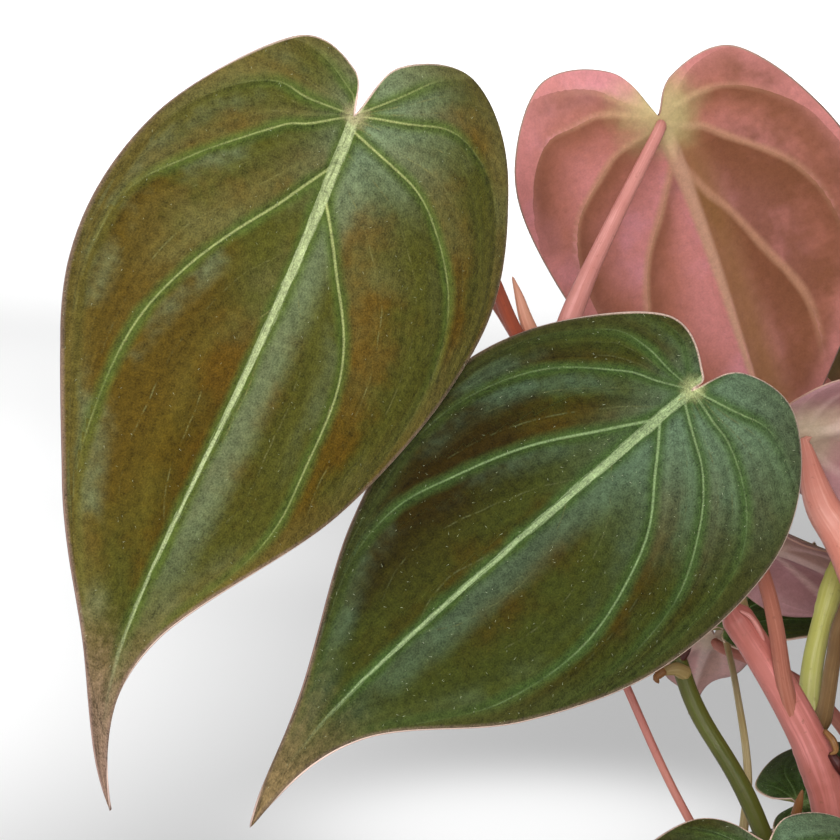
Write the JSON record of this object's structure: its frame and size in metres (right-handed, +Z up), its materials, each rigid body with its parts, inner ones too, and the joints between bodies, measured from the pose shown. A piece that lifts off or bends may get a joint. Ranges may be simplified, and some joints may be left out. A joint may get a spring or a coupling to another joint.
{
  "type": "potted velvet leaf philodendron",
  "caption": "Potted velvet-leaved climbing aroid: heart-shaped leaves with drip tips on thin leaning vines, in soil, in a plain round clay pot.",
  "frame": {"origin": "centre of the pot's underside, which is also the bottom centre of the whole plant's box", "axes": "+Z up along the pot, +X to the right in the front view and along the widest spread of the leaves, +Y away from the front view"},
  "size_m": [0.2644, 0.1798, 0.2541],
  "materials": {
    "terracotta": "matt, unglazed fired clay with faint pale bloom",
    "potting_mix": "rough, crumbly mix of bark and peat",
    "pink_vine": "fresh stem, satin skin, rose to salmon",
    "olive_vine": "fresh stem, satin skin, olive green",
    "lime_vine": "fresh stem, satin skin, yellow green",
    "brown_vine": "older stem, dull skin, tan brown",
    "bronze_leaf": "velvety, bronze green with pale yellow-green veins",
    "green_leaf": "velvety, deep green with pale yellow-green veins",
    "dark_leaf": "velvety, dark green",
    "dusky_leaf": "satin underside, dusky pink with olive vein bands"
  },
  "bodies": {
    "root": {"pot": "terracotta", "soil": "potting_mix", "vine_main": "pink_vine", "vine_olive": "olive_vine", "vine_lime": "lime_vine", "vine_back": "brown_vine", "vine_right": "pink_vine", "vine_rear": "brown_vine", "leaf_left": "bronze_leaf", "leaf_centre": "green_leaf", "leaf_pink": "dusky_leaf", "leaf_mauve": "dusky_leaf", "leaf_dusky": "dusky_leaf", "leaf_shaded": "dark_leaf", "leaf_rosy": "dusky_leaf", "leaf_low_dark": "dark_leaf", "leaf_front_low": "green_leaf", "leaf_behind_centre": "green_leaf", "leaf_behind_left": "bronze_leaf", "leaf_right_top": "green_leaf", "leaf_right_front": "bronze_leaf", "leaf_right_low": "green_leaf", "leaf_front_right": "bronze_leaf", "leaf_front_mid": "green_leaf", "leaf_rear_top": "bronze_leaf", "leaf_rear_right": "green_leaf", "leaf_rear_back": "green_leaf", "leaf_top": "bronze_leaf", "leaf_upper": "green_leaf", "leaf_back_top": "green_leaf", "leaf_back_left": "bronze_leaf", "leaf_back_mid": "green_leaf", "leaf_back_right": "green_leaf", "leaf_back_low": "green_leaf"}
  },
  "joints": []
}
